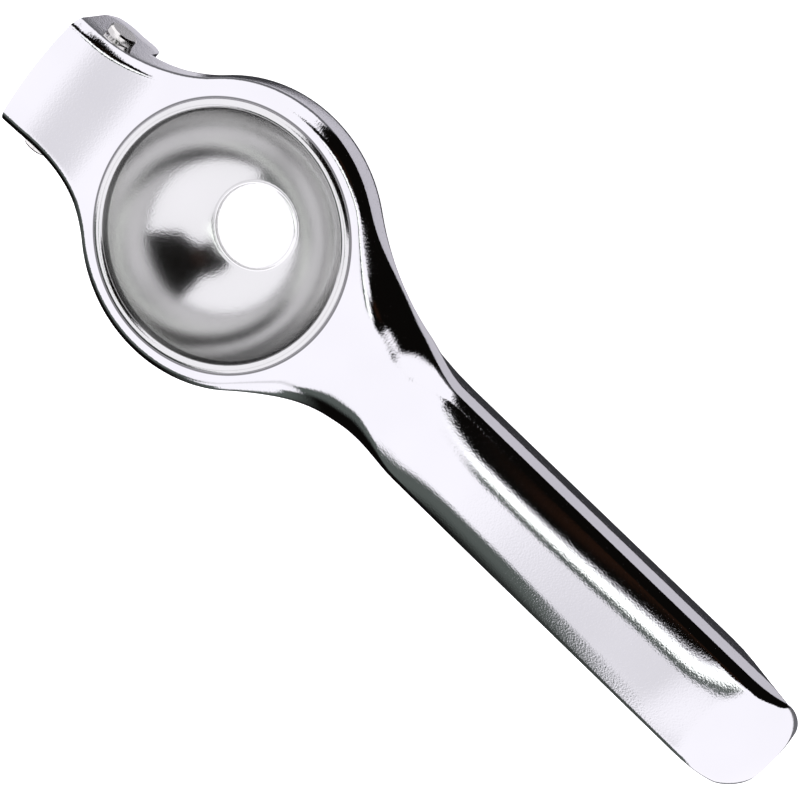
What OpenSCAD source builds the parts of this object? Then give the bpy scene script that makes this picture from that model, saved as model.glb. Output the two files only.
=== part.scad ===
// Hand citrus squeezer: two pressed sheet arms on one hinge rivet.
// The upper arm holds the press cup, the lower arm holds the strainer cup.
// X runs from the hinge to the handle, Z is up, and the origin is the middle of the strainer's flat foot.

/* [Cups] */
// Inner radius of the press cup at its mouth
cup_r = 26.9; // [24:0.1:33]
// Depth of the press cup from its mouth to its flat floor
dish_depth = 19; // [15:0.5:23]
// Radius of the press cup's flat floor
dish_floor_r = 9.9; // [7:0.1:12]
// Sheet thickness of both cups
cup_wall = 0.8; // [0.6:0.1:1]
// Radius of the strainer's flat foot
foot_r = 9.5; // [7:0.1:12]
// Diameter of one drain hole
drain_d = 3; // [2:0.1:3.6]

/* [Arms] */
// Sheet thickness of both arms
sheet_t = 1.8; // [1.4:0.1:2.2]
// Width of the metal from the cup's mouth to the ring's outer wall
rim_w = 6.2; // [6:0.1:8]
// Height of the straight skirt below the upper ring's rounded shoulder
skirt_h = 6.7; // [5.5:0.1:8.5]
// Length of the handle from the ring's wall to the tip
handle_length = 124; // [90:1:160]
// Width of the upper handle
handle_width = 23.2; // [20:0.2:28]
// Height of the handle above the ring's land, at the shoulder
handle_rise = 4.7; // [3:0.1:6]

/* [Hinge] */
// Width of the upper arm across its hinge ears
hinge_width = 28.8; // [26:0.2:34]
// Distance from the ring's wall to the rivet
hinge_reach = 11.9; // [11.5:0.1:14]
// Rise of the hinge end above the ring's land
hinge_rise = 4.2; // [2:0.1:5]
// Diameter of the rivet's shank
pin_d = 4.4; // [3.6:0.1:5.4]
// Diameter of the rivet's heads
head_d = 6.6; // [6.2:0.1:8]
// Height of the rivet's heads
head_h = 1.6; // [1:0.1:2.2]

/* [Hidden] */
$fn = 96;

// Clearances
run_gap = 0.05;    // rivet in its bores, on the radius
nest_gap = 0.35;   // lower handle inside the upper one
rim_gap = 0.3;     // between the two rings when closed
side_gap = 0.25;   // lower ears inside the upper ears
swing_gap = 0.6;   // lower ears under the upper arm's roof
seat_gap = 0.1;    // cup wall inside the hole of its ring
head_gap = 0.35;   // rivet heads off the ears
cut = 1;           // how far a cutting shape runs past what it cuts

// Plan of the upper arm
ring_r = cup_r + rim_w;
hinge_half = hinge_width / 2;
handle_half = handle_width / 2;
hinge_fillet = 33;
neck_fillet = 60;
pin_x = -(ring_r + hinge_reach);
hinge_overhang = 8.3;
hinge_ease = 1.3;
hinge_end = pin_x - hinge_overhang;
tip_x = ring_r + handle_length;
tip_corner = 5;
neck_end = sqrt(pow(ring_r + neck_fillet, 2) - pow(handle_half + neck_fillet, 2));
nest = sheet_t + nest_gap;

// Heights are measured from the land, the flat top of the upper ring, and every node is lifted by land_h
shoulder_r = 3;
handle_shoulder_r = 3.4;
tip_shoulder_r = 6;
crown_angle = 20;
skirt_z = -shoulder_r - skirt_h;
handle_skirt_z = skirt_z + handle_rise;
tip_bend = 21;     // length over which the handle turns down to its tip
tip_drop = 6.4;

// Press cup: a dish on a sphere, with a half-round lip on the land
lip_w = 1.1;
lip_h = 0.9;
dish_c = (cup_r * cup_r - dish_floor_r * dish_floor_r - dish_depth * dish_depth) / (2 * dish_depth);
dish_r = sqrt(cup_r * cup_r + dish_c * dish_c);
upper_hole_r = sqrt(pow(dish_r + cup_wall, 2) - dish_c * dish_c) + seat_gap;
lip_r = upper_hole_r + lip_w;
lip_arc_r = (pow(lip_r - cup_r, 2) / 4 + lip_h * lip_h) / (2 * lip_h);
land_margin = 0.6;
land_r = lip_r + land_margin;

// Lower arm: an upright channel whose walls end just under the upper ring's skirt
wall_h = 2.8;
lower_shoulder_r = 2.2;
lower_top_z = skirt_z - rim_gap;
lower_seat_z = lower_top_z - wall_h;
lower_base = sheet_t - lower_seat_z - lower_shoulder_r;
lower_handle_drop = 1.2;
lower_tip_x = tip_x - nest;
handle_lap = 1.5;   // how far the lower handle's wall reaches up inside the upper skirt
lower_handle_top_z = handle_skirt_z + handle_lap;
lower_ear_half = hinge_half - sheet_t - side_gap;
lower_fillet = 6;

// Strainer cup: a bowl on a sphere, its lip on the lower ring
strainer_lip_w = 1.8;
strainer_lip_r = ring_r - nest - lower_shoulder_r - seat_gap;
strainer_lip_h = 1;
lower_hole_r = strainer_lip_r - strainer_lip_w;
bowl_rise = 3.2;
bowl_r = sqrt(pow(lower_hole_r - seat_gap, 2) + bowl_rise * bowl_rise);
bowl_c = lower_seat_z + bowl_rise;
land_h = sqrt(bowl_r * bowl_r - foot_r * foot_r) - bowl_c;
drain_rings = [[5.6, 6], [11, 12], [16, 18]];  // radius and number of holes of each ring

// Hinge
ear_margin = 2.6;
ear_r = pin_d / 2 + ear_margin;
pin_z = rise(pin_x) - sheet_t - ear_r - swing_gap;
ear_depth = 12.1;
ear_rear_r = 7;
ear_front_r = 4.2;
ear_front = 6.2;
ear_blend = 1;
skirt_step = 14;   // length over which the skirts step up from the ring to the handle
lower_step_x = neck_end - 22;
tip_sweep = 0.8;
lower_ear_angle = 209;
lower_neck_reach = 14;
lower_rear_x = 3;
lower_rear_drop = 11;

function smooth(t) = let(u = min(max(t, 0), 1)) u * u * (3 - 2 * u);

// Half width of an arm at x, for an outline set in by d, with the hinge half width and fillet given
function neck_x(d) = neck_end * (ring_r - d) / (ring_r + neck_fillet);
function hinge_tan(h, f) = sqrt(pow(ring_r + f, 2) - pow(h + f, 2));
function hinge_x(d, h, f) = -hinge_tan(h, f) * (ring_r - d) / (ring_r + f);
function half_w(x, d, h, f) =
    x < -hinge_tan(h, f) ? h - d
    : x < hinge_x(d, h, f) ? h + f - sqrt(pow(f + d, 2) - pow(x + hinge_tan(h, f), 2))
    : x < neck_x(d) ? sqrt(pow(ring_r - d, 2) - x * x)
    : x < neck_end ? handle_half + neck_fillet - sqrt(pow(neck_fillet + d, 2) - pow(x - neck_end, 2))
    : handle_half - d;

// Rise of the roof above the land at x
function rise(x) =
    x < -land_r ? hinge_rise * pow((-x - land_r) / (-hinge_end - land_r), hinge_ease)
    : handle_rise * smooth((x - land_r) / (neck_end - land_r));
function blend(x) = smooth((x - land_r) / (neck_end - land_r));

// One half of a channel's section, from the wall's free edge to the middle of the roof, as [y, z] points.
// w is the half width, s the height where the wall meets the shoulder, r the shoulder's radius and a the
// roof's slope where the shoulder ends.
arc_steps = 4;
roof_steps = 2;
function half_section(w, s, r, a, edge) =
    let(y1 = w - r + r * sin(a), z1 = s + r * cos(a))
    concat(
        [[w, edge]],
        [for (i = [0:arc_steps]) let(p = (90 - a) * i / arc_steps) [w - r + r * cos(p), s + r * sin(p)]],
        [for (i = [1:roof_steps]) let(y = y1 * (1 - i / roof_steps))
            [y, z1 + tan(a) / (2 * y1) * (y1 * y1 - y * y)]]
    );
function whole_section(h) = concat(h, [for (i = [len(h) - 2:-1:0]) [-h[i][0], h[i][1]]]);

// A channel from its stations: each gives [x, w, s, r, a] outside and inside, and up is 1 or -1
module channel(outer, inner, edge, up) {
    sections = concat(
        [for (p = outer) [for (q = whole_section(half_section(p[1], p[2], p[3], p[4], edge)))
            [p[0], q[0], up * q[1]]]],
        [for (p = inner) [for (q = whole_section(half_section(p[1], p[2], p[3], p[4], edge)))
            [p[0], q[0], up * q[1]]]]
    );
    n = len(sections[0]);
    m = len(outer);
    last = m - 1;
    function at(j, i) = j * n + i;
    skin = [for (j = [0:last - 1], i = [0:n - 2], k = [0, 1])
        k == 0 ? [at(j, i), at(j, i + 1), at(j + 1, i)] : [at(j, i + 1), at(j + 1, i + 1), at(j + 1, i)]];
    lining = [for (j = [m:m + last - 1], i = [0:n - 2], k = [0, 1])
        k == 0 ? [at(j, i), at(j + 1, i), at(j, i + 1)] : [at(j, i + 1), at(j + 1, i), at(j + 1, i + 1)]];
    edges = [for (j = [0:last - 1], k = [0:3])
        k == 0 ? [at(j, 0), at(j + 1, 0), at(m + j, 0)]
        : k == 1 ? [at(j + 1, 0), at(m + j + 1, 0), at(m + j, 0)]
        : k == 2 ? [at(j, n - 1), at(m + j, n - 1), at(j + 1, n - 1)]
        : [at(j + 1, n - 1), at(m + j, n - 1), at(m + j + 1, n - 1)]];
    mouth = [for (i = [0:n - 2]) [at(0, i), at(m, i), at(m, i + 1), at(0, i + 1)]];
    nose = [
        [for (i = [0:n - 1]) at(last, i)],
        [for (i = [n - 1:-1:0]) at(m + last, i)],
        [at(last, 0), at(last, n - 1), at(m + last, n - 1), at(m + last, 0)]
    ];
    faces = concat(skin, lining, edges, mouth, nose);
    turned = up < 0 ? faces : [for (f = faces) [for (i = [len(f) - 1:-1:0]) f[i]]];
    polyhedron(points = [for (s = sections, p = s) p], faces = turned, convexity = 6);
}

// Stations along an arm that ends at x = end, hinge half width h, hinge fillet f, outline set in by d
function stations(start, end, d, h, f) =
    let(x1 = -hinge_tan(h, f), x2 = hinge_x(d, h, f), x3 = neck_x(d), bend = end - tip_bend)
    let(a2 = acos(x2 / (ring_r - d)), a3 = acos(x3 / (ring_r - d)))
    concat(
        [start],
        [for (i = [0:3]) max(x1, start + 1) + (-land_r - max(x1, start + 1)) * i / 4],
        [for (i = [0:1]) -land_r + (x2 + land_r) * i / 2],
        [for (i = [0:11]) (ring_r - d) * cos(a2 + (a3 - a2) * i / 12)],
        [for (i = [0:1]) x3 + (land_r - x3) * i / 2],
        [for (i = [0:5]) land_r + (neck_end - land_r) * i / 6],
        [for (i = [0:2]) neck_end + (bend - neck_end) * i / 3],
        [for (i = [0:4]) bend + (tip_bend - tip_corner) * i / 5],
        [for (i = [0:4]) end - tip_corner + tip_corner * sin(90 * i / 4)]
    );

// Half width near the tip, with the corner rounded, and the station's own x for a lining set in by d
function corner_w(x, end) = x < end - tip_corner ? 0
    : tip_corner - sqrt(max(0, tip_corner * tip_corner - pow(x - end + tip_corner, 2)));
function inner_x(x, end, t) = x < end - tip_corner ? x
    : end - tip_corner + (x - end + tip_corner) * (tip_corner - t) / tip_corner;
function tip_t(x, end) = min(max((x - end + tip_bend) / tip_bend, 0), 1);
function station(x, end, d, t, h, f, s, r) =
    let(u = tip_t(x, end), k = (tip_corner - t) / tip_corner)
    [
        inner_x(x, end, t),
        half_w(x, d + t, h, f) - corner_w(x, end) * k,
        s - tip_drop * smooth(u),
        r + (tip_shoulder_r - r) * smooth(u) - t,
        crown_angle * blend(x)
    ];
function upper_station(x, t) = station(x, tip_x, 0, t, hinge_half, hinge_fillet,
    rise(x) - shoulder_r, shoulder_r + (handle_shoulder_r - shoulder_r) * blend(x));
function lower_station(x, t) = station(x, lower_tip_x, nest, t, lower_ear_half + nest, lower_fillet,
    lower_base + lower_handle_drop * blend(x),
    lower_shoulder_r + (handle_shoulder_r - lower_shoulder_r) * blend(x));

// A side outline in X and Z, made a prism across the part
module across(width) {
    rotate([90, 0, 0]) linear_extrude(width, center = true) children();
}

module bore(d, length) {
    translate([pin_x, 0, pin_z]) rotate([90, 0, 0]) cylinder(d = d, h = length, center = true);
}

// Side outline of the upper arm: ear, ring skirt, neck and handle skirt, open above
module upper_side() {
    top = handle_rise + 4 * shoulder_r;
    ear_z = pin_z - ear_depth;
    polygon([
        [hinge_end, top], [hinge_end, ear_z + ear_rear_r], [hinge_end + ear_rear_r, ear_z],
        [pin_x + ear_front - ear_front_r, ear_z], [pin_x + ear_front, ear_z + ear_front_r],
        [pin_x + ear_front, skirt_z - ear_blend], [pin_x + ear_front + ear_blend, skirt_z],
        for (i = [0:6]) [neck_end + skirt_step * (i / 6 - 1), skirt_z + handle_rise * smooth(i / 6)],
        [tip_x - tip_corner, handle_skirt_z], [tip_x + cut, handle_skirt_z + tip_sweep], [tip_x + cut, top]
    ]);
    translate([hinge_end + ear_rear_r, ear_z + ear_rear_r]) circle(ear_rear_r);
    translate([pin_x + ear_front - ear_front_r, ear_z + ear_front_r]) circle(ear_front_r);
}

// Side outline of the lower arm: ear round the rivet, neck, ring wall and handle wall, open below
module lower_side() {
    low = -land_h - cut;
    edge_z = handle_skirt_z - rim_gap;
    translate([pin_x, pin_z]) circle(ear_r);
    polygon([
        [pin_x + ear_r * cos(lower_ear_angle), pin_z + ear_r * sin(lower_ear_angle)],
        [pin_x + lower_rear_x, pin_z - lower_rear_drop], [pin_x + lower_rear_x, low],
        [tip_x, low], [tip_x, edge_z], [lower_tip_x - tip_bend / 3, edge_z],
        [lower_tip_x - tip_bend, lower_handle_top_z],
        for (i = [6:-1:0]) [lower_step_x + skirt_step * i / 6,
            lower_top_z + (lower_handle_top_z - lower_top_z) * smooth(i / 6)],
        [pin_x + lower_neck_reach, lower_top_z], [pin_x + ear_r * cos(45), pin_z + ear_r * sin(45)]
    ]);
}

module upper_arm() {
    xs = stations(hinge_end - cut, tip_x, 0, hinge_half, hinge_fillet);
    color("gainsboro") translate([0, 0, land_h]) difference() {
        intersection() {
            channel([for (x = xs) upper_station(x, 0)], [for (x = xs) upper_station(x, sheet_t)],
                pin_z - ear_depth - cut, 1);
            across(2 * ring_r + 2 * cut) upper_side();
        }
        translate([0, 0, -sheet_t - cut]) cylinder(r = upper_hole_r, h = sheet_t + 2 * cut);
        bore(pin_d + 2 * run_gap, hinge_width + 2 * cut);
    }
}

module press_cup() {
    color("silver") translate([0, 0, land_h]) rotate_extrude() {
        // Dish wall and flat floor
        difference() {
            intersection() {
                translate([0, dish_c]) circle(dish_r + cup_wall, $fn = 180);
                translate([0, -dish_depth - cup_wall]) square([lip_r, dish_depth + cup_wall]);
            }
            intersection() {
                translate([0, dish_c]) circle(dish_r, $fn = 180);
                translate([-lip_r, -dish_depth]) square([2 * lip_r, dish_depth + cut]);
            }
        }
        // Rolled lip, a low arc that stands on the land
        intersection() {
            translate([(cup_r + lip_r) / 2, lip_h - lip_arc_r]) circle(lip_arc_r);
            translate([cup_r, 0]) square([lip_r - cup_r, lip_h]);
        }
    }
}

module lower_arm() {
    h = lower_ear_half + nest;
    xs = stations(pin_x - ear_r - cut, lower_tip_x, nest, h, lower_fillet);
    color("darkgray") translate([0, 0, land_h]) difference() {
        intersection() {
            channel([for (x = xs) lower_station(x, 0)], [for (x = xs) lower_station(x, sheet_t)],
                -pin_z - ear_r - cut, -1);
            across(2 * ring_r) lower_side();
        }
        translate([0, 0, lower_seat_z - sheet_t - cut]) cylinder(r = lower_hole_r, h = sheet_t + 2 * cut);
        bore(pin_d + 2 * run_gap, hinge_width);
    }
}

module strainer_cup() {
    bottom = bowl_c - sqrt(bowl_r * bowl_r - foot_r * foot_r);
    color("lightsteelblue") translate([0, 0, land_h]) difference() {
        rotate_extrude() {
            difference() {
                intersection() {
                    translate([0, bowl_c]) circle(bowl_r, $fn = 180);
                    translate([0, bottom]) square([bowl_r, lower_seat_z + strainer_lip_h - bottom]);
                }
                intersection() {
                    translate([0, bowl_c]) circle(bowl_r - cup_wall, $fn = 180);
                    translate([-bowl_r, bottom + cup_wall]) square([2 * bowl_r, bowl_r + cut]);
                }
            }
            translate([bowl_r - cup_wall, lower_seat_z])
                square([strainer_lip_r - bowl_r + cup_wall, strainer_lip_h]);
        }
        for (ring = drain_rings, i = [0:ring[1] - 1])
            rotate(360 / ring[1] * (i + 0.5)) translate([ring[0], 0, bottom - cut])
                cylinder(d = drain_d, h = bowl_r - cut, $fn = 24);
    }
}

module hinge_rivet() {
    reach = hinge_half + head_gap;
    edge = 0.4;   // chamfer round each head
    color("gray") translate([pin_x, 0, pin_z + land_h]) rotate([90, 0, 0]) rotate_extrude() polygon([
        [0, -reach - head_h], [head_d / 2 - edge, -reach - head_h], [head_d / 2, -reach - head_h + edge],
        [head_d / 2, -reach], [pin_d / 2, -reach], [pin_d / 2, reach], [head_d / 2, reach],
        [head_d / 2, reach + head_h - edge], [head_d / 2 - edge, reach + head_h], [0, reach + head_h]
    ]);
}

upper_arm();
press_cup();
lower_arm();
strainer_cup();
hinge_rivet();
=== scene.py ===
import functools
import math
import bmesh
import bpy
import numpy as np
from mathutils import Matrix, Vector


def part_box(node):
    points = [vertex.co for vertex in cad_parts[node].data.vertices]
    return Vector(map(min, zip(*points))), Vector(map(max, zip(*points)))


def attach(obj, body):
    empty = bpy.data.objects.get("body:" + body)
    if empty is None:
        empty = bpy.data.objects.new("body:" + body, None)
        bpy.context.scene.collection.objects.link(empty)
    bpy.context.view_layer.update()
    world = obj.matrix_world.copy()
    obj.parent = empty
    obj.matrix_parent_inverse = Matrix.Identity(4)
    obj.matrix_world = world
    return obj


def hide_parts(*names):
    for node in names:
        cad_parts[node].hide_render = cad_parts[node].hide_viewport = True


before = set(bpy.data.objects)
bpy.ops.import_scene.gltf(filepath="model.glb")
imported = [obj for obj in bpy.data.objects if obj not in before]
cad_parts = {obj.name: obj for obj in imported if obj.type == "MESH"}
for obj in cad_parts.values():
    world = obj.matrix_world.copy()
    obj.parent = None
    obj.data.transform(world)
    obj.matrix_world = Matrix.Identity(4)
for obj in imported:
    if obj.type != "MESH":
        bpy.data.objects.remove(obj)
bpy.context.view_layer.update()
mm = 0.001

# Places that the frame gives, in millimetres
upperLow, upperHigh = [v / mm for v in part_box("upper_arm")]
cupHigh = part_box("press_cup")[1] / mm
rivetLow, rivetHigh = [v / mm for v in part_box("hinge_rivet")]
pinX = (rivetLow.x + rivetHigh.x) / 2
pinZ = (rivetLow.z + rivetHigh.z) / 2
print("frame loaded, pin at", round(pinX, 2), round(pinZ, 2))


def smoothStep(t):
    # 0 below 0, 1 above 1, and a cubic ease between
    u = np.clip(t, 0, 1)
    return u * u * (3 - 2 * u)


def stations(marks, counts):
    # places along a line: each pair of neighbouring marks is split evenly into its own count of steps
    steps = [np.linspace(a, b, n, endpoint=False) for a, b, n in zip(marks[:-1], marks[1:], counts)]
    return np.concatenate(steps + [[marks[-1]]])


def gridFaces(rows, columns, wrapRows=False, wrapColumns=False):
    # quads between neighbouring rows and columns of a grid, wrapped round where asked
    r = np.arange(rows if wrapRows else rows - 1)[:, None]
    c = np.arange(columns if wrapColumns else columns - 1)[None, :]
    r2 = (r + 1) % rows
    c2 = (c + 1) % columns
    quads = np.stack([r * columns + c, r * columns + c2, r2 * columns + c2, r2 * columns + c], -1)
    return quads.reshape(-1, 4)


def makeMesh(name, points, faces, material):
    # points in millimetres, faces as index rows of one length, or a list of such arrays
    groups = faces if isinstance(faces, list) else [faces]
    mesh = bpy.data.meshes.new(name)
    mesh.vertices.add(len(points))
    mesh.vertices.foreach_set("co", (points * mm).astype(np.float32).ravel())
    loops = np.concatenate([g.ravel() for g in groups])
    sizes = np.concatenate([np.full(len(g), g.shape[1]) for g in groups])
    mesh.loops.add(len(loops))
    mesh.loops.foreach_set("vertex_index", loops.astype(np.int32))
    mesh.polygons.add(len(sizes))
    mesh.polygons.foreach_set("loop_start", np.concatenate([[0], np.cumsum(sizes)[:-1]]).astype(np.int32))
    mesh.polygons.foreach_set("use_smooth", np.ones(len(sizes), bool))
    mesh.update()
    mesh.validate()
    mesh.materials.append(material)
    piece = bpy.data.objects.new(name, mesh)
    bpy.context.scene.collection.objects.link(piece)
    return piece


def revolve(name, profile, material, turns=192):
    # a closed profile of [radius, height] rows, turned about Z; the formula is (r cos t, r sin t, z)
    t = np.linspace(0, 2 * math.pi, turns, endpoint=False)[:, None]
    r = profile[None, :, 0]
    z = np.broadcast_to(profile[None, :, 1], (turns, len(profile)))
    points = np.stack([r * np.cos(t), r * np.sin(t), z], -1).reshape(-1, 3)
    piece = makeMesh(name, points, gridFaces(turns, len(profile), True, True), material)
    work = bmesh.new()
    work.from_mesh(piece.data)
    bmesh.ops.remove_doubles(work, verts=work.verts, dist=1e-7)
    work.to_mesh(piece.data)
    work.free()
    return piece


def arc(centreX, centreY, radius, start, end, steps):
    # points of a circle's arc from one angle to another, in degrees
    t = np.radians(np.linspace(start, end, steps))
    return np.stack([centreX + radius * np.cos(t), centreY + radius * np.sin(t)], -1)


def line(a, b, steps=2):
    return np.linspace(a, b, steps)


def mathNode(tree, kind, a, b=None):
    # a maths node whose inputs are numbers or sockets
    node = tree.nodes.new("ShaderNodeMath")
    node.operation = kind
    for socket, value in zip(node.inputs, (a, b)):
        if isinstance(value, (int, float)):
            socket.default_value = value
        elif value is not None:
            tree.links.new(value, socket)
    return node.outputs[0]


def polishedWithPaintedLight(name, look):
    # mirror polish: fine waviness and hair scratches in the bump, faint haze in the roughness; in the base
    # colour, a ring of painted shade in the gap round the cup's lip and a painted highlight on the flat
    # floor
    mat = bpy.data.materials.new(name)
    mat.use_nodes = True
    nodes = mat.node_tree.nodes
    links = mat.node_tree.links
    shader = nodes["Principled BSDF"]
    shader.inputs["Metallic"].default_value = 1
    where = nodes.new("ShaderNodeTexCoord")
    maths = functools.partial(mathNode, mat.node_tree)
    grain = nodes.new("ShaderNodeTexNoise")
    grain.inputs["Scale"].default_value = look["grainScale"]
    grain.inputs["Detail"].default_value = look["grainDetail"]
    links.new(where.outputs["Object"], grain.inputs["Vector"])
    wave = nodes.new("ShaderNodeTexNoise")
    wave.inputs["Scale"].default_value = look["waveScale"]
    wave.inputs["Detail"].default_value = look["waveDetail"]
    links.new(where.outputs["Object"], wave.inputs["Vector"])
    haze = nodes.new("ShaderNodeMapRange")
    haze.inputs["To Min"].default_value = look["roughLow"]
    haze.inputs["To Max"].default_value = look["roughHigh"]
    links.new(wave.outputs["Fac"], haze.inputs["Value"])
    links.new(haze.outputs["Result"], shader.inputs["Roughness"])
    tint = nodes.new("ShaderNodeMapRange")
    tint.data_type = "FLOAT_VECTOR"
    tint.inputs["To Min"].default_value = look["darkTint"]
    tint.inputs["To Max"].default_value = look["lightTint"]
    links.new(wave.outputs["Fac"], tint.inputs["Vector"])
    # painted shade in the gap round the cup's lip: a thin dark ring at a set distance from Z
    parts = nodes.new("ShaderNodeSeparateXYZ")
    links.new(where.outputs["Object"], parts.inputs[0])
    x, y = parts.outputs[0], parts.outputs[1]
    distance = maths("SQRT", maths("ADD", maths("MULTIPLY", x, x), maths("MULTIPLY", y, y)))
    off = maths("ABSOLUTE", maths("SUBTRACT", distance, look["creaseShadeAt"] * mm))
    creaseShade = nodes.new("ShaderNodeMapRange")
    creaseShade.interpolation_type = "SMOOTHSTEP"
    creaseShade.inputs["From Min"].default_value = look["creaseShadeHalf"] * mm * look["creaseShadeCore"]
    creaseShade.inputs["From Max"].default_value = look["creaseShadeHalf"] * mm
    creaseShade.inputs["To Min"].default_value = look["creaseShadeTone"]
    links.new(off, creaseShade.inputs["Value"])
    # the flat floor in the middle is painted a brighter tone than the spun wall round it: a painted
    # highlight
    floorHighlight = nodes.new("ShaderNodeMapRange")
    floorHighlight.inputs["From Min"].default_value = look["floorHighlightRadius"] * mm
    floorHighlight.inputs["From Max"].default_value = (look["floorHighlightRadius"] + look["floorHighlightSoft"]) * mm
    floorHighlight.inputs["To Min"].default_value = look["floorHighlightTone"]
    links.new(distance, floorHighlight.inputs["Value"])
    shade = nodes.new("ShaderNodeVectorMath")
    shade.operation = "SCALE"
    links.new(tint.outputs["Vector"], shade.inputs[0])
    links.new(maths("MULTIPLY", creaseShade.outputs["Result"], floorHighlight.outputs["Result"]), shade.inputs["Scale"])
    links.new(shade.outputs["Vector"], shader.inputs["Base Color"])
    fine = nodes.new("ShaderNodeBump")
    fine.inputs["Strength"].default_value = look["grainBump"]
    fine.inputs["Distance"].default_value = look["grainDepth"]
    links.new(grain.outputs["Fac"], fine.inputs["Height"])
    broad = nodes.new("ShaderNodeBump")
    broad.inputs["Strength"].default_value = 1
    broad.inputs["Distance"].default_value = look["waveDepth"]
    links.new(wave.outputs["Fac"], broad.inputs["Height"])
    links.new(fine.outputs["Normal"], broad.inputs["Normal"])
    links.new(broad.outputs["Normal"], shader.inputs["Normal"])
    return mat


armLook = {
    "grainScale": 2400, "grainDetail": 3, "grainBump": 1.0, "grainDepth": 0.00002,
    "waveScale": 60, "waveDetail": 1, "waveDepth": 0.00001,
    "roughLow": 0.03, "roughHigh": 0.07,
    "darkTint": (0.64, 0.635, 0.65), "lightTint": (0.69, 0.685, 0.70),
    # below: a thin ring of painted shade round the cup's lip, and a painted highlight over the flat floor (a
    # tone of 1 leaves it plain)
    "creaseShadeAt": 29.15, "creaseShadeHalf": 0.3, "creaseShadeCore": 0.4, "creaseShadeTone": 0.25,
    "floorHighlightRadius": 9.5, "floorHighlightSoft": 0.2, "floorHighlightTone": 1,
}
# the cup's ring of painted shade sits just inside its mouth, and its flat floor is painted a quarter
# brighter as a highlight
cupLook = dict(armLook, roughLow=0.13, roughHigh=0.19,
               darkTint=(0.58, 0.58, 0.572), lightTint=(0.64, 0.638, 0.632),
               creaseShadeAt=26.75, creaseShadeHalf=0.35, floorHighlightTone=1.25)
rivetLook = dict(armLook, creaseShadeTone=1, roughLow=0.12, roughHigh=0.22,
                 darkTint=(0.6, 0.59, 0.56), lightTint=(0.78, 0.77, 0.74))
armMetal = polishedWithPaintedLight("polishedArmPaintedLight", armLook)
cupMetal = polishedWithPaintedLight("polishedCupPaintedLight", cupLook)
rivetMetal = polishedWithPaintedLight("rivetSteel", rivetLook)
print("finishes made")


plan = {
    "ring": upperHigh.y,         # outer radius of the upper ring
    "handle": 11.6,              # half width of the upper handle
    "hinge": 14.4,               # half width across the ears
    "hingeFillet": 33,
    "neckFillet": 60,
    "hingeEnd": upperLow.x,
    "tip": upperHigh.x,
    "tipCorner": 5,
    "endBow": 1.0,               # how far the hinge end bows out in the middle
    "endBowLength": 3,
    "tipBow": 1.8,               # how far the tip bows out
    "tipBowLength": 12,
}


def halfWidth(x, inset, hinge, fillet):
    # plan outline, set in: hinge block, its fillet, the ring's circle, the neck's fillet, the handle
    ring, neck, handle = plan["ring"], plan["neckFillet"], plan["handle"]
    reach = math.sqrt((ring + fillet) ** 2 - (hinge + fillet) ** 2)
    neckEnd = math.sqrt((ring + neck) ** 2 - (handle + neck) ** 2)
    touchHinge = -reach * (ring - inset) / (ring + fillet)
    touchNeck = neckEnd * (ring - inset) / (ring + neck)
    nearHinge = hinge + fillet - np.sqrt(np.maximum((fillet + inset) ** 2 - (x + reach) ** 2, 0))
    circle = np.sqrt(np.maximum((ring - inset) ** 2 - x ** 2, 0))
    nearNeck = handle + neck - np.sqrt(np.maximum((neck + inset) ** 2 - (x - neckEnd) ** 2, 0))
    return np.select([x < -reach, x < touchHinge, x < touchNeck, x < neckEnd],
                     [hinge - inset, nearHinge, circle, nearNeck], handle - inset)


upperShape = {
    "sheet": 1.8,
    "landRadius": 29.53,         # flat land round the cup
    "lipRoom": 0.1,              # how far inside the land's edge a rounder shoulder may start
    "cupHole": 27.83,
    "cupCut": 4,                 # reach of the tool that cuts it, to either side
    "pinBore": 2.25,
    "pinCut": 20,
    "land": cupHigh.z - 0.9,     # height of the land: the cup's lip stands 0.9 above it
    "hingeRise": 4.2,
    "hingeEase": 0.6,            # share of that rise that is an ease, the rest being a straight ramp
    "hingeReach": 1.15,          # how much sooner than the hinge end the ease is over
    "handleRise": 3.7,           # step from the land up to the handle's shoulder
    "riseLength": 21,            # how far along the neck the step takes
    "skirtRise": 4.7,            # the same step of the skirt's lower edge
    "handleSwell": 0.4,          # slow rise after the step
    "swellFrom": 50,
    "swellLength": 38,
    "neckRound": 6.5,            # how much rounder the shoulder is at the neck
    "roundFrom": 18,
    "roundGrow": 22,
    "roundFall": 45,
    "roundShrink": 16,
    "shoulder": 3.0,             # shoulder radius round the ring
    "handleShoulder": 2.8,
    "crown": 31,                 # slope of the handle's crown at its shoulder, degrees
    "crownFrom": 33,
    "crownGrow": 43,
    "crownFall": 7,              # how much flatter the crown gets along the handle
    "fallFrom": 85,
    "fallLength": 50,
    "tipCrown": 8,
    "tipFlatFrom": 28,           # how far from the tip the crown starts to flatten
    "tipFlatLength": 20,
    "tipBend": 17,
    "tipPower": 2.4,
    "tipDrop": 7.6,
    "tipRound": 0.6,             # rounding of the tip's upper edge
    "skirt": -9.7,               # lower edge of the ring's skirt, from the land
    "skirtStep": 14,             # length over which the skirt steps up at the neck
    "tipLift": 2.5,              # how much higher its edge ends at the tip
    "liftFrom": 12,
    "liftLength": 9,
    "earDepth": 12.1,
    "earRear": 7,
    "earFront": 4.2,
    "earReach": 6.2,
    "edge": 0.45,                # rounding of the sheet's cut edges
    "leastWall": 0.05,
}
neckEnd = math.sqrt((plan["ring"] + plan["neckFillet"]) ** 2 - (plan["handle"] + plan["neckFillet"]) ** 2)


def handleShare(x):
    # 0 on the ring's land, 1 on the handle
    return smoothStep((x - upperShape["landRadius"]) / upperShape["riseLength"])


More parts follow.
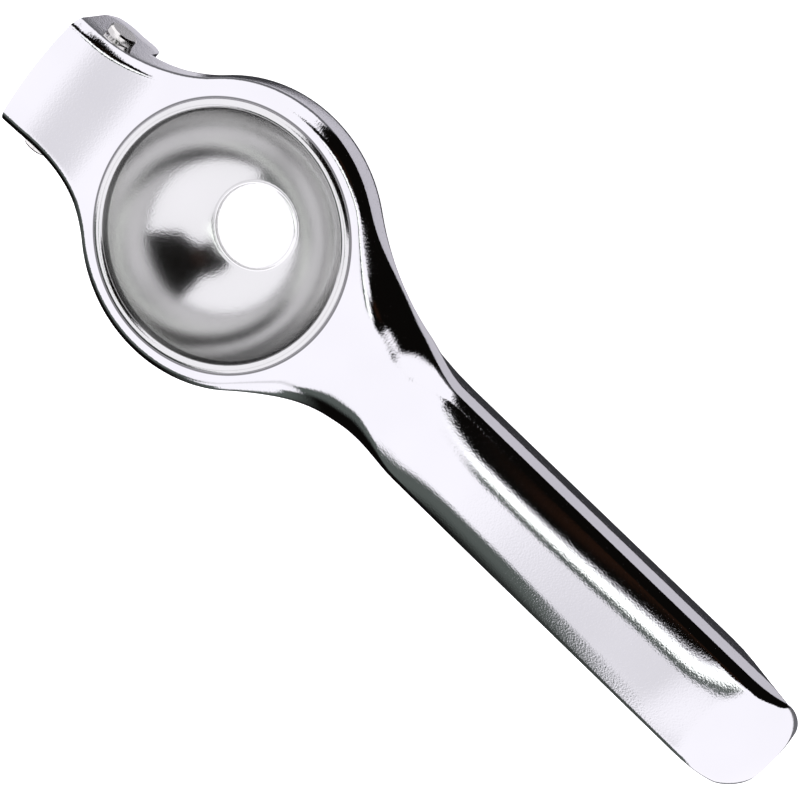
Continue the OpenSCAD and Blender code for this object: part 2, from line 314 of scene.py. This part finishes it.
def roofRise(x):
    # height of the roof above the land: an ease up to the hinge end, another up to the handle
    r = upperShape["landRadius"]
    toHinge = np.maximum(-x - r, 0) / (-plan["hingeEnd"] - r)
    ease = upperShape["hingeEase"]
    toHinge = (1 - ease) * toHinge + ease * smoothStep(toHinge * upperShape["hingeReach"])
    swell = upperShape["handleSwell"] * smoothStep((x - upperShape["swellFrom"]) / upperShape["swellLength"])
    return upperShape["hingeRise"] * toHinge + upperShape["handleRise"] * handleShare(x) + swell


def neckExtra(x, w):
    # the shoulder grows rounder towards the neck, as far as the cup's lip leaves room
    s = upperShape
    grow = smoothStep((x - s["roundFrom"]) / s["roundGrow"])
    extra = s["neckRound"] * grow * (1 - smoothStep((x - s["roundFall"]) / s["roundShrink"]))
    lip = s["landRadius"] - s["lipRoom"]
    room = w - np.sqrt(np.maximum(lip ** 2 - x * x, 0)) - s["shoulder"]
    return np.clip(extra, 0, np.maximum(room, 0))


def crownSlope(x):
    # slope of the roof at its shoulder: none on the land, most past the neck, less towards the tip
    s = upperShape
    slope = s["crown"] * smoothStep((x - s["crownFrom"]) / s["crownGrow"])
    slope = slope - s["crownFall"] * smoothStep((x - s["fallFrom"]) / s["fallLength"])
    toTip = smoothStep((x - plan["tip"] + s["tipFlatFrom"]) / s["tipFlatLength"])
    return np.radians(slope + (s["tipCrown"] - slope) * toTip)


def tipShare(x, end):
    # how far the roof has dropped towards the tip, 0 to 1
    reach = upperShape["tipBend"]
    return np.clip((x - end + reach) / reach, 0, 1) ** upperShape["tipPower"]


def cornerLoss(x, end, radius):
    # how much the half width loses round the tip's corner
    u = np.clip((x - end + radius) / radius, 0, 1)
    return radius * (1 - np.sqrt(1 - u * u))


def upperEdge(x):
    # lower edge of the upper arm's wall: ear with its two corners, ring skirt, step up, handle skirt
    s = upperShape
    ear = pinZ - s["land"] - s["earDepth"]
    rear = plan["hingeEnd"] + s["earRear"] - x
    front = x - (pinX + s["earReach"] - s["earFront"])
    rearLift = s["earRear"] - np.sqrt(np.maximum(s["earRear"] ** 2 - np.clip(rear, 0, None) ** 2, 0))
    front = np.clip(front, 0, s["earFront"])
    frontLift = s["earFront"] - np.sqrt(np.maximum(s["earFront"] ** 2 - front ** 2, 0))
    onEar = ear + rearLift + frontLift
    skirt = s["skirt"] + s["skirtRise"] * smoothStep((x - neckEnd + s["skirtStep"]) / s["skirtStep"])
    skirt = skirt + s["tipLift"] * smoothStep((x - plan["tip"] + s["liftFrom"]) / s["liftLength"])
    return np.where(x <= pinX + s["earReach"], np.minimum(onEar, skirt), skirt)


def halfSection(w, wallTop, radius, slope, low, walls, arcs, roofs):
    # one half of a channel's section from the wall's foot to the middle of the roof:
    # a straight wall, a round shoulder that stops at the crown's slope, and a parabola for the crown
    u = np.linspace(0, 1, walls)[None, :]
    wallZ = low + (wallTop - low) * u
    wallY = w + 0 * u
    v = np.linspace(0, 1, arcs + 1)[None, 1:]
    angle = (math.pi / 2 - slope) * v
    arcY = w - radius + radius * np.cos(angle)
    arcZ = wallTop + radius * np.sin(angle)
    y1 = w - radius + radius * np.sin(slope)
    z1 = wallTop + radius * np.cos(slope)
    q = 1 - np.linspace(0, 1, roofs + 1)[None, 1:]
    roofY = y1 * q
    roofZ = z1 + np.tan(slope) / (2 * y1) * (y1 ** 2 - roofY ** 2)
    return np.concatenate([wallY, arcY, roofY], 1), np.concatenate([wallZ, arcZ, roofZ], 1)


def channelLoop(section, edgeRound):
    # from one half section to the full one, with the foot's corner rounded
    y, z = section
    t = np.radians(np.linspace(90, 0, 4))[None, :]
    side = 1 if edgeRound > 0 else -1
    e = abs(edgeRound)
    footY = y[:, :1] - side * e + side * e * np.cos(t)
    footZ = z[:, :1] + e - e * np.sin(t)
    halfY = np.concatenate([footY, y[:, 1:]], 1)
    halfZ = np.concatenate([footZ, z[:, 1:]], 1)
    return np.concatenate([halfY, -halfY[:, -2::-1]], 1), np.concatenate([halfZ, halfZ[:, -2::-1]], 1)


def bowEnds(x, y):
    # the hinge end and the tip bow out in the middle
    atHinge = 1 - smoothStep((x - plan["hingeEnd"]) / plan["endBowLength"])
    atTip = smoothStep((x - plan["tip"] + plan["tipBowLength"]) / plan["tipBowLength"])
    return x + (plan["endBow"] * atHinge * (y / plan["hinge"]) ** 2
                - plan["tipBow"] * atTip * (y / plan["handle"]) ** 2)


def joinShell(name, xSkin, skin, xLining, lining, wallFoot, base, material):
    # skin and lining grids with the foot edges closed, an open mouth edge, and an end wall at the tip
    rows, columns = skin[0].shape
    n = rows * columns
    points = []
    for x, (y, z) in ((xSkin, skin), (xLining, lining)):
        grid = np.broadcast_to(x[:, None], y.shape)
        points.append(np.stack([bowEnds(grid, y), y, base + z], -1).reshape(-1, 3))
    # end walls: straight down from the last row to its foot, in a few steps
    steps = 5
    for x, (y, z) in ((xSkin, skin), (xLining, lining)):
        share = np.linspace(0, 1, steps + 1)[1:, None]
        wallY = np.broadcast_to(y[-1:], (steps, columns))
        wallZ = z[-1:] + (wallFoot - z[-1:]) * share
        wallX = bowEnds(np.full(wallY.shape, x[-1]), wallY)
        points.append(np.stack([wallX, wallY, base + wallZ], -1).reshape(-1, 3))
    quads = gridFaces(rows, columns)
    r = np.arange(rows - 1)
    c = np.arange(columns - 1)
    a, b = r * columns, (r + 1) * columns
    footA = np.stack([a, a + n, b + n, b], -1)
    a2, b2 = a + columns - 1, b + columns - 1
    footB = np.stack([a2, b2, b2 + n, a2 + n], -1)
    mouth = np.stack([c, c + 1, c + 1 + n, c + n], -1)
    k = (rows - 1) * columns
    m = steps * columns
    wallRows = gridFaces(steps, columns)
    wallTop = np.stack([c + k, c + k + 1, c + 2 * n + 1, c + 2 * n], -1)
    liningTop = np.stack([c + k + n, c + 2 * n + m, c + 2 * n + m + 1, c + k + n + 1], -1)
    lowest = 2 * n + (steps - 1) * columns
    sill = np.stack([c + lowest, c + lowest + 1, c + lowest + m + 1, c + lowest + m], -1)
    # the two end walls meet at their sides
    down = 2 * n + np.arange(steps) * columns
    sides = []
    for column in (0, columns - 1):
        outer = np.concatenate([[k], down]) + column
        inner = np.concatenate([[k + n], down + m]) + column
        sides.append(np.stack([outer[:-1], outer[1:], inner[1:], inner[:-1]], -1))
    faces = [quads, quads[:, ::-1] + n, footA, footB, mouth[:, ::-1], wallTop[:, ::-1],
             wallRows + 2 * n, wallRows[:, ::-1] + 2 * n + m, liningTop[:, ::-1], sill]
    faces = np.concatenate(faces + sides)[:, ::-1]
    piece = makeMesh(name, np.concatenate(points), faces, material)
    mesh = piece.data
    work = bmesh.new()
    work.from_mesh(mesh)
    bmesh.ops.remove_doubles(work, verts=work.verts, dist=1e-7)
    bmesh.ops.recalc_face_normals(work, faces=work.faces)
    work.to_mesh(mesh)
    work.free()
    mesh.set_sharp_from_angle(angle=math.radians(38))
    return piece


def cutRound(piece, name, radius, low, high, x=0, along="Z"):
    # cuts a round hole with a Boolean and keeps the plain mesh
    # turned half a step, so that no corner falls on the grid's own middle lines
    t = np.linspace(0, 2 * math.pi, 256, endpoint=False) + math.pi / 256
    ring = np.stack([np.cos(t), np.sin(t)], -1) * radius
    ends = []
    for height in (low, high):
        flat = np.full((256, 1), height)
        if along == "Z":
            ends.append(np.concatenate([ring[:, :1] + x, ring[:, 1:], flat], 1))
        else:
            ends.append(np.concatenate([ring[:, :1] + x, -flat, ring[:, 1:] + pinZ], 1))
    points = np.concatenate(ends)
    i = np.arange(256)
    j = (i + 1) % 256
    sides = np.stack([i, j, j + 256, i + 256], -1)
    caps = [i[::-1][None, :], (i + 256)[None, :]]
    cutter = makeMesh(name, points, [sides] + caps, piece.data.materials[0])
    cut = piece.modifiers.new("cut", "BOOLEAN")
    cut.operation = "DIFFERENCE"
    cut.solver = "EXACT"
    cut.object = cutter
    graph = bpy.context.evaluated_depsgraph_get()
    mesh = bpy.data.meshes.new_from_object(piece.evaluated_get(graph))
    piece.modifiers.clear()
    piece.data = mesh
    bpy.data.objects.remove(cutter)
    return piece


def upperArm():
    s = upperShape
    end = plan["tip"]
    front = pinX + s["earReach"]
    marks = [plan["hingeEnd"], plan["hingeEnd"] + s["earRear"], front - s["earFront"], front, front + 0.02,
             -s["landRadius"], 0, s["landRadius"], neckEnd, end - s["tipBend"], end - plan["tipCorner"]]
    x = stations(marks, [16, 6, 12, 1, 20, 40, 40, 60, 50, 36])
    t = np.linspace(0, 1, 25)[1:]
    x = np.concatenate([x, end - plan["tipCorner"] * (1 - np.sin(t * math.pi / 2))])

    tipRound = s["tipRound"]
    bend = np.linspace(0, math.pi / 2, 6)[1:]
    xSkin = np.concatenate([x[:-1], end - tipRound + tipRound * np.sin(bend)])
    insetSkin = np.concatenate([0 * x[:-1], tipRound * (1 - np.cos(bend))])
    corner = plan["tipCorner"]
    squeezed = end - corner + (x - end + corner) * (corner - s["sheet"]) / corner
    xLining = np.where(x < end - corner, x, squeezed)
    xLining = np.concatenate([xLining[:-1], np.full(len(bend), xLining[-1])])

    def section(xs, inset):
        # the corner shrinks with the inset, as the outline does
        keep = (corner - inset) / corner
        w = halfWidth(xs, inset, plan["hinge"], plan["hingeFillet"]) - cornerLoss(xs, end, corner) * keep
        share = tipShare(xs, end)
        extra = neckExtra(xs, halfWidth(xs, 0, plan["hinge"], plan["hingeFillet"]))
        radius = s["shoulder"] + (s["handleShoulder"] - s["shoulder"]) * handleShare(xs)
        radius = radius + extra - inset
        wallTop = roofRise(xs) - s["shoulder"] - extra - s["tipDrop"] * share
        low = np.minimum(upperEdge(xs), wallTop - s["leastWall"])
        columns = [v[:, None] for v in (w, wallTop, radius, crownSlope(xs), low)]
        return halfSection(*columns, 6, 20, 24)

    skin = channelLoop(section(xSkin, insetSkin), s["edge"])
    lining = channelLoop(section(xLining, s["sheet"] + 0 * xLining), -s["edge"])
    foot = min(upperEdge(np.array([end]))[0], skin[1][-1].min())
    piece = joinShell("upperArm", xSkin, skin, xLining, lining, foot, s["land"], armMetal)
    cutRound(piece, "cupHole", s["cupHole"], s["land"] - s["cupCut"], s["land"] + s["cupCut"])
    cutRound(piece, "pinBore", s["pinBore"], -s["pinCut"], s["pinCut"], pinX, "Y")
    return piece


upperArmPiece = upperArm()
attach(upperArmPiece, "upper")
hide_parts("upper_arm")
print("upper arm made")

print("lower arm kept from the frame")

cup = {
    "mouth": 26.9,               # inner radius at the mouth
    "depth": 19,
    "floor": 9.9,                # radius of the flat floor
    "wall": 0.8,
    "lip": 28.93,
    "lipHeight": 0.9,
    "groove": 0.2,               # depth and width of the fine groove round the floor
    "seam": 0.01,                # step between the lip's underside and the wall
    "underFloor": 9,             # radius of the flat underside
}


def pressCup():
    # dish on a sphere through the mouth and the floor's edge, flat floor, low rolled lip on the land
    c = cup
    land = upperShape["land"]
    centre = (c["mouth"] ** 2 - c["floor"] ** 2 - c["depth"] ** 2) / (2 * c["depth"])
    radius = math.hypot(c["mouth"], centre)
    toMouth = -math.degrees(math.asin(centre / radius))
    toFloor = -math.degrees(math.asin((centre + c["depth"]) / radius))
    lipMiddle = (c["mouth"] + c["lip"]) / 2
    half = (c["lip"] - c["mouth"]) / 2
    lipRadius = (half ** 2 + c["lipHeight"] ** 2) / (2 * c["lipHeight"])
    lipAngle = math.degrees(math.asin(min(half / lipRadius, 1)))
    outside = radius + c["wall"]
    hole = math.sqrt(outside ** 2 - centre ** 2)
    floor, below = -c["depth"], -c["depth"] - c["wall"]
    groove = [c["floor"] - step * c["groove"] for step in (3, 2, 1)]
    outMouth = -math.degrees(math.asin(centre / outside))
    outFloor = -math.degrees(math.asin((centre + c["depth"] + c["wall"]) / outside))
    profile = np.concatenate([
        line((0, floor), (groove[0], floor), 12),
        line((groove[1], floor - c["groove"]), (groove[2], floor), 2),
        arc(0, centre, radius, toFloor, toMouth, 70),
        arc(lipMiddle, c["lipHeight"] - lipRadius, lipRadius, 90 + lipAngle, 90 - lipAngle, 20)[1:],
        line((hole, 0), (hole, -c["seam"]), 2),
        arc(0, centre, outside, outMouth, outFloor, 60)[1:],
        line((c["underFloor"], below), (0, below), 6),
    ])
    profile[:, 1] += land
    return revolve("pressCup", profile, cupMetal)


pressCupPiece = pressCup()
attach(pressCupPiece, "upper")
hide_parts("press_cup")
print("press cup made")

# The lower arm, the strainer and the rivet keep their CAD shape and take the metals
for node, metal in (("lower_arm", armMetal), ("strainer_cup", cupMetal), ("hinge_rivet", rivetMetal)):
    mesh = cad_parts[node].data
    mesh.materials.clear()
    mesh.materials.append(metal)
print("cad pieces finished")

studio = {
    "azimuth": 66.95,
    "elevation": 67.75,
    "roll": -114.5,
    "distance": 0.700,
    "lens": 151.8,
    "target": (0.05202, 0.00161),
}


paper = {
    "half": 3,                        # metres
    "tone": (0.9, 0.9, 0.9),
    "roughness": 0.9,
    "glow": 0.9,                      # its own light, so that it shows white to the camera
}


def floorSheet():
    size = paper["half"]
    points = np.array([[-size, -size, 0], [size, -size, 0], [size, size, 0], [-size, size, 0]]) / mm
    mat = bpy.data.materials.new("floorPaper")
    mat.use_nodes = True
    shader = mat.node_tree.nodes["Principled BSDF"]
    shader.inputs["Base Color"].default_value = (*paper["tone"], 1)
    shader.inputs["Roughness"].default_value = paper["roughness"]
    shader.inputs["Emission Color"].default_value = (1, 1, 1, 1)
    shader.inputs["Emission Strength"].default_value = paper["glow"]
    sheet = makeMesh("floorSheet", points, np.array([[0, 1, 2, 3]]), mat)
    sheet.visible_glossy = False


floorSheet()


def setCamera():
    # the view direction from azimuth and elevation, turned about itself by the roll
    az, el, roll = [math.radians(studio[k]) for k in ("azimuth", "elevation", "roll")]
    back = Vector((math.cos(el) * math.cos(az), math.cos(el) * math.sin(az), math.sin(el)))
    right = (-back).cross(Vector((0, 0, 1))).normalized()
    above = right.cross(-back)
    turnedRight = right * math.cos(roll) + above * math.sin(roll)
    turnedAbove = above * math.cos(roll) - right * math.sin(roll)
    target = Vector((*studio["target"], upperShape["land"] * mm))
    camera = bpy.data.objects.new("camera", bpy.data.cameras.new("camera"))
    rows = Matrix((turnedRight, turnedAbove, back)).transposed().to_4x4()
    camera.matrix_world = Matrix.Translation(target + back * studio["distance"]) @ rows
    camera.data.sensor_width = 36
    camera.data.lens = studio["lens"]
    camera.data.clip_start = 0.01
    bpy.context.scene.collection.objects.link(camera)
    bpy.context.scene.camera = camera


setCamera()

tent = {
    "centre": (0, 0, 0.035),
    "radius": 0.8,                    # metres
    "rows": 60,
    "turns": 96,
    "pole": 0.01,                     # millimetres left open at the top and the bottom
    "white": (1.42, 1.4, 1.48),       # cloth of the light tent
    "dark": (0.004, 0.0035, 0.003),   # room seen through its openings
    "warm": (0.022, 0.01, 0.006),     # something brown in the room
    "warmAcross": (66, 90, 5),        # azimuths from and to, and how soft its sides are
    "warmDown": (31, 42, 4),          # the same for the angle down from straight up
    "dull": (0.13, 0.15, 0.14),       # room behind the back opening
    "front": (38, 100),               # azimuths of the opening that the camera looks through, degrees
    "frontTop": 20.3,                 # how far from straight up that opening starts
    "frontSlant": 26,                 # how much further it reaches at its top, degrees
    "slantOver": (50, 26),            # the slant grows between these, from the level up
    "back": (222, 288),               # azimuths of the opening at the back
    "backHigh": 276.5,                # where it ends in its upper part
    "backHighOver": (86, 80),         # the upper part starts between these
    "backHighNear": (255, 265),       # and the shift towards its end comes in between these
    "backTop": (53, 58),              # it starts between these, from straight up
    "backDeep": (234, 276, 10),       # azimuths of its darkest part, and how soft its sides are
    "backDeepOver": (68, 86),
    "edge": 1.5,                      # softness of the openings' sides
    "table": (0.74, 0.72, 0.79),      # the grey paper under the object
    "tableOver": (151, 153),
    "low": (0.2, 0.2, 0.215),         # foot of the tent, over the table's edge
    "lowOver": (118, 126),
    "tube": (1.95, 2.02, 1.97),       # strip light over the front opening
    "tubeSide": 80,
    "tubeFrom": 7.5,
    "tubeTo": 17,
    "tubeReach": (-7, 20, 3),         # its ends, in degrees from straight up towards the tip, and softness
    "tubeSoft": 0.6,
    "seam": (0.13, 0.15, 0.14),       # cloth seam beside the strip light
    "seamFrom": 0,
    "dip": 0.74,                      # the cloth is dimmer straight above the handle
    "dipAt": 9,
    "dipWidth": 13,
}


def lightDome():
    # a big sphere round the object with the light tent painted on it as a function of direction from its
    # middle: azimuth, angle down from straight up, lean towards the camera, and lean towards the tip
    t = np.radians(np.linspace(0.5, 179.5, tent["rows"]))
    profile = np.stack([np.sin(t), np.cos(t)], -1) * tent["radius"] / mm
    profile[0, 0] = profile[-1, 0] = tent["pole"]
    profile[:, 1] += tent["centre"][2] / mm
    turns = tent["turns"]
    a = np.linspace(0, 2 * math.pi, turns, endpoint=False)[:, None]
    r, z = profile[None, :, 0], np.broadcast_to(profile[None, :, 1], (turns, len(profile)))
    points = np.stack([r * np.cos(a), r * np.sin(a), z], -1).reshape(-1, 3)
    mat = bpy.data.materials.new("tentCloth")
    mat.use_nodes = True
    mat.cycles.emission_sampling = "NONE"
    nodes = mat.node_tree.nodes
    links = mat.node_tree.links
    nodes.remove(nodes["Principled BSDF"])
    glow = nodes.new("ShaderNodeEmission")
    links.new(glow.outputs[0], nodes["Material Output"].inputs["Surface"])

    maths = functools.partial(mathNode, mat.node_tree)

    def ramp(value, start, end):
        # 0 before start, 1 after end, eased
        node = nodes.new("ShaderNodeMapRange")
        node.interpolation_type = "SMOOTHSTEP"
        node.inputs["From Min"].default_value = start
        node.inputs["From Max"].default_value = end
        links.new(value, node.inputs["Value"])
        return node.outputs["Result"]

    def between(value, low, high, soft):
        # 1 from low to high, with soft edges
        return maths("MULTIPLY", ramp(value, low - soft, low + soft), ramp(value, high + soft, high - soft))

    def mix(share, a, b):
        node = nodes.new("ShaderNodeMix")
        node.data_type = "RGBA"
        links.new(share, node.inputs["Factor"])
        for socket, value in ((node.inputs["A"], a), (node.inputs["B"], b)):
            if isinstance(value, tuple):
                socket.default_value = (*value, 1)
            else:
                links.new(value, socket)
        return node.outputs["Result"]

    def degrees(up, level):
        return maths("MULTIPLY", maths("ARCTAN2", up, level), 180 / math.pi)

    where = nodes.new("ShaderNodeTexCoord")
    offset = nodes.new("ShaderNodeVectorMath")
    offset.operation = "SUBTRACT"
    links.new(where.outputs["Object"], offset.inputs[0])
    offset.inputs[1].default_value = tent["centre"]
    parts = nodes.new("ShaderNodeSeparateXYZ")
    links.new(offset.outputs["Vector"], parts.inputs[0])
    x, y, z = parts.outputs
    azimuth = maths("MODULO", maths("ADD", degrees(y, x), 360), 360)
    down = maths("MULTIPLY", maths("ARCCOSINE", maths("DIVIDE", z, tent["radius"])), 180 / math.pi)
    side = math.radians(tent["tubeSide"])
    level = maths("ADD", maths("MULTIPLY", x, math.cos(side)), maths("MULTIPLY", y, math.sin(side)))
    lean = degrees(level, z)
    along = degrees(x, z)
    upper = maths("GREATER_THAN", z, 0)

    # both ramps are half way up at dipAt, so their product peaks at a quarter there
    dip = maths("MULTIPLY", between(along, tent["dipAt"], tent["dipAt"], tent["dipWidth"]), upper)
    cloth = mix(maths("MULTIPLY", dip, 4 * (1 - tent["dip"])), tent["white"], (0.0, 0.0, 0.0))
    inReach = maths("MULTIPLY", between(along, *tent["tubeReach"]), upper)
    seam = maths("MULTIPLY", between(lean, tent["seamFrom"], tent["tubeFrom"], tent["tubeSoft"]), inReach)
    tube = maths("MULTIPLY", between(lean, tent["tubeFrom"], tent["tubeTo"], tent["tubeSoft"]), inReach)
    slant = maths("MULTIPLY", ramp(down, *tent["slantOver"]), tent["frontSlant"])
    edge = tent["edge"]
    front = between(maths("SUBTRACT", azimuth, slant), *tent["front"], edge)
    front = maths("MULTIPLY", front, ramp(down, tent["frontTop"] - edge, tent["frontTop"] + edge))
    ends = maths("MULTIPLY", ramp(down, *tent["backHighOver"]), tent["back"][1] - tent["backHigh"])
    shift = maths("MULTIPLY", ends, ramp(azimuth, *tent["backHighNear"]))
    back = between(maths("ADD", azimuth, shift), *tent["back"], edge)
    back = maths("MULTIPLY", back, ramp(down, *tent["backTop"]))
    deep = maths("MULTIPLY", between(azimuth, *tent["backDeep"]), ramp(down, *tent["backDeepOver"]))
    warm = maths("MULTIPLY", between(azimuth, *tent["warmAcross"]), between(down, *tent["warmDown"]))
    low = ramp(down, *tent["lowOver"])
    table = ramp(down, *tent["tableOver"])
    colour = mix(seam, cloth, tent["seam"])
    colour = mix(tube, colour, tent["tube"])
    colour = mix(low, colour, tent["low"])
    colour = mix(front, colour, tent["dark"])
    colour = mix(warm, colour, tent["warm"])
    colour = mix(back, colour, tent["dull"])
    colour = mix(deep, colour, tent["dark"])
    colour = mix(table, colour, tent["table"])
    links.new(colour, glow.inputs["Color"])
    dome = makeMesh("lightDome", points, gridFaces(turns, len(profile), True, False), mat)
    dome.visible_camera = False
    dome.visible_shadow = False


cardShape = {
    "tone": (0.07, 0.07, 0.075),
    "radius": 41.5,                   # disc under the rings, millimetres
    "half": 20,                       # half width of the strip under the handle
    "end": 163,
    "height": 0.3,
    "turns": 96,
}


def shadowCard():
    # the paper close to the object lies in its shadow: seen in the metal only
    mat = bpy.data.materials.new("paperShadow")
    mat.use_nodes = True
    shader = mat.node_tree.nodes["Principled BSDF"]
    shader.inputs["Base Color"].default_value = (*cardShape["tone"], 1)
    shader.inputs["Roughness"].default_value = 1
    shader.inputs["Specular IOR Level"].default_value = 0
    turns = cardShape["turns"]
    t = np.linspace(0, 2 * math.pi, turns, endpoint=False)
    radius, half, end, height = [cardShape[k] for k in ("radius", "half", "end", "height")]
    disc = np.stack([np.cos(t) * radius, np.sin(t) * radius, 0 * t + height], -1)
    bar = np.array([[0, -half, height], [end, -half, height], [end, half, height], [0, half, height]])
    faces = [np.arange(turns)[None, :], np.arange(turns, turns + 4)[None, :]]
    card = makeMesh("shadowCard", np.concatenate([disc, bar]), faces, mat)
    card.visible_camera = False
    card.visible_diffuse = False
    card.visible_shadow = False


lightDome()
shadowCard()
air = bpy.data.worlds.new("studioAir")
air.use_nodes = True
air.node_tree.nodes["Background"].inputs["Color"].default_value = (1, 1, 1, 1)
bpy.context.scene.world = air
bpy.context.scene.view_settings.view_transform = "Standard"
print("studio set")
